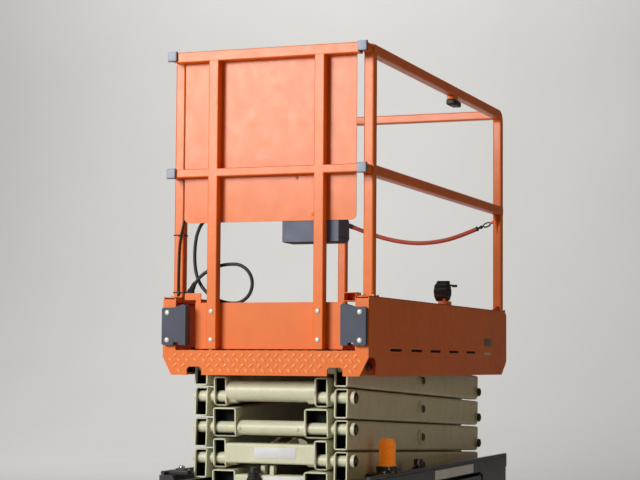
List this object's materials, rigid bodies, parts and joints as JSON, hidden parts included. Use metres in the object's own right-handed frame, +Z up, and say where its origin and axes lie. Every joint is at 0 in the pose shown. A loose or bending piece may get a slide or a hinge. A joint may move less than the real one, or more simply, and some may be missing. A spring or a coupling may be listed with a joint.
{
  "type": "self-propelled scissor lift",
  "caption": "Compact slab scissor lift: wheeled chassis, four-level scissor stack, railed platform and sliding platform extension.",
  "frame": {"origin": "on the floor under the middle of the machine's box", "axes": "+X forward, +Y the machine's left, +Z up"},
  "size_m": [1.89, 0.802, 2.091],
  "materials": {
    "orange_paint": "gloss paint",
    "cream_paint": "satin paint",
    "chassis_paint": "satin paint",
    "blue_grey": "moulded",
    "cap_grey": "moulded",
    "white_rubber": "moulded",
    "rim_grey": "satin paint",
    "steel": "ground",
    "nylon": "moulded",
    "amber_lens": "clear moulded",
    "sleeve_red": "moulded"
  },
  "bodies": {
    "chassis": {"chassis_frame": "chassis_paint", "ledges": "chassis_paint", "end_plates": "chassis_paint", "ledge_fittings": "chassis_paint", "beacon_dome": "amber_lens", "rear_axle": "chassis_paint"},
    "outer_1": {"outer_arms_1": "cream_paint"},
    "inner_1": {"inner_arms_1": "cream_paint", "lower_rollers": "nylon"},
    "outer_2": {"outer_arms_2": "cream_paint"},
    "inner_2": {"inner_arms_2": "cream_paint"},
    "outer_3": {"outer_arms_3": "cream_paint"},
    "inner_3": {"inner_arms_3": "cream_paint"},
    "outer_4": {"outer_arms_4": "cream_paint", "upper_rollers": "nylon"},
    "inner_4": {"inner_arms_4": "cream_paint"},
    "platform": {"deck_frame": "orange_paint", "left_skirt": "orange_paint", "right_skirt": "orange_paint", "front_lip": "orange_paint", "corner_pads": "blue_grey", "left_rails": "orange_paint", "right_rails": "orange_paint", "rear_rail": "orange_paint", "entry_chain": "sleeve_red", "chain_hook": "nylon", "post_cable": "nylon"},
    "extension": {"ext_deck": "orange_paint", "ext_frame": "orange_paint", "ext_panel": "orange_paint", "end_caps": "cap_grey", "control_box": "blue_grey", "control_cable": "nylon"},
    "barrel": {"lift_barrel": "cream_paint"},
    "rod": {"lift_rod": "steel"},
    "left_knuckle": {"left_knuckle": "chassis_paint"},
    "right_knuckle": {"right_knuckle": "chassis_paint"},
    "left_tray": {"left_tray": "chassis_paint", "left_tray_load": "chassis_paint"},
    "right_tray": {"right_tray": "chassis_paint", "right_tray_load": "chassis_paint"},
    "front_left_wheel": {"front_left_tyre": "white_rubber", "front_left_rim": "rim_grey"},
    "front_right_wheel": {"front_right_tyre": "white_rubber", "front_right_rim": "rim_grey"},
    "rear_left_wheel": {"rear_left_tyre": "white_rubber", "rear_left_rim": "rim_grey"},
    "rear_right_wheel": {"rear_right_tyre": "white_rubber", "rear_right_rim": "rim_grey"}
  },
  "joints": [
    {"name": "lift", "type": "hinge", "parent": "chassis", "child": "outer_1", "pos_m": [-0.795, 0, 0.501], "axis": [0, -1, 0], "range_deg": [0, 49.9]},
    {"name": "cross_1", "type": "hinge", "parent": "outer_1", "child": "inner_1", "pos_m": [0.015, 0, 0.5565], "axis": [0, 1, 0], "range_deg": [0, 99.8]},
    {"name": "level_2", "type": "hinge", "parent": "inner_1", "child": "outer_2", "pos_m": [-0.795, 0, 0.612], "axis": [0, -1, 0], "range_deg": [0, 99.8]},
    {"name": "cross_2", "type": "hinge", "parent": "outer_2", "child": "inner_2", "pos_m": [0.015, 0, 0.6675], "axis": [0, 1, 0], "range_deg": [0, 99.8]},
    {"name": "level_3", "type": "hinge", "parent": "inner_2", "child": "outer_3", "pos_m": [-0.795, 0, 0.723], "axis": [0, -1, 0], "range_deg": [0, 99.8]},
    {"name": "cross_3", "type": "hinge", "parent": "outer_3", "child": "inner_3", "pos_m": [0.015, 0, 0.7785], "axis": [0, 1, 0], "range_deg": [0, 99.8]},
    {"name": "level_4", "type": "hinge", "parent": "inner_3", "child": "outer_4", "pos_m": [-0.795, 0, 0.834], "axis": [0, -1, 0], "range_deg": [0, 99.8]},
    {"name": "cross_4", "type": "hinge", "parent": "outer_4", "child": "inner_4", "pos_m": [0.015, 0, 0.8895], "axis": [0, 1, 0], "range_deg": [0, 99.8]},
    {"name": "platform_pivot", "type": "hinge", "parent": "inner_4", "child": "platform", "pos_m": [-0.795, 0, 0.945], "axis": [0, -1, 0], "range_deg": [0, 49.9]},
    {"name": "extension_slide", "type": "slide", "parent": "platform", "child": "extension", "axis": [1, 0, 0], "range_m": [0, 0.86]},
    {"name": "barrel_pivot", "type": "hinge", "parent": "chassis", "child": "barrel", "pos_m": [-0.7, 0, 0.441], "axis": [0, -1, 0], "range_deg": [0, 53.09]},
    {"name": "rod_slide", "type": "slide", "parent": "barrel", "child": "rod", "axis": [0.9888, 0, 0.1495], "range_m": [0, 0.29538]},
    {"name": "left_steer", "type": "hinge", "parent": "chassis", "child": "left_knuckle", "pos_m": [0.725, 0.272, 0.35], "axis": [0, 0, 1], "range_deg": [-60, 60]},
    {"name": "right_steer", "type": "hinge", "parent": "chassis", "child": "right_knuckle", "pos_m": [0.725, -0.272, 0.35], "axis": [0, 0, 1], "range_deg": [-60, 60]},
    {"name": "front_left_spin", "type": "hinge", "parent": "left_knuckle", "child": "front_left_wheel", "pos_m": [0.725, 0.352, 0.1615], "axis": [0, 1, 0], "continuous": true},
    {"name": "rear_left_spin", "type": "hinge", "parent": "chassis", "child": "rear_left_wheel", "pos_m": [-0.725, 0.352, 0.1615], "axis": [0, 1, 0], "continuous": true},
    {"name": "left_tray_swing", "type": "hinge", "parent": "chassis", "child": "left_tray", "pos_m": [-0.512, 0.388, 0.3], "axis": [0, 0, 1], "range_deg": [0, 100]},
    {"name": "front_right_spin", "type": "hinge", "parent": "right_knuckle", "child": "front_right_wheel", "pos_m": [0.725, -0.352, 0.1615], "axis": [0, 1, 0], "continuous": true},
    {"name": "rear_right_spin", "type": "hinge", "parent": "chassis", "child": "rear_right_wheel", "pos_m": [-0.725, -0.352, 0.1615], "axis": [0, 1, 0], "continuous": true},
    {"name": "right_tray_swing", "type": "hinge", "parent": "chassis", "child": "right_tray", "pos_m": [-0.512, -0.388, 0.3], "axis": [0, 0, -1], "range_deg": [0, 100]}
  ],
  "couplings": [
    {"joint": "cross_1", "follows": "lift", "ratio": 2},
    {"joint": "level_2", "follows": "lift", "ratio": 2},
    {"joint": "cross_2", "follows": "lift", "ratio": 2},
    {"joint": "level_3", "follows": "lift", "ratio": 2},
    {"joint": "cross_3", "follows": "lift", "ratio": 2},
    {"joint": "level_4", "follows": "lift", "ratio": 2},
    {"joint": "cross_4", "follows": "lift", "ratio": 2},
    {"joint": "platform_pivot", "follows": "lift", "ratio": 1},
    {"joint": "barrel_pivot", "follows": "lift", "ratio": 1.064},
    {"joint": "rod_slide", "follows": "lift", "m_per_rad": 0.33904},
    {"joint": "right_steer", "follows": "left_steer", "ratio": 1}
  ]
}
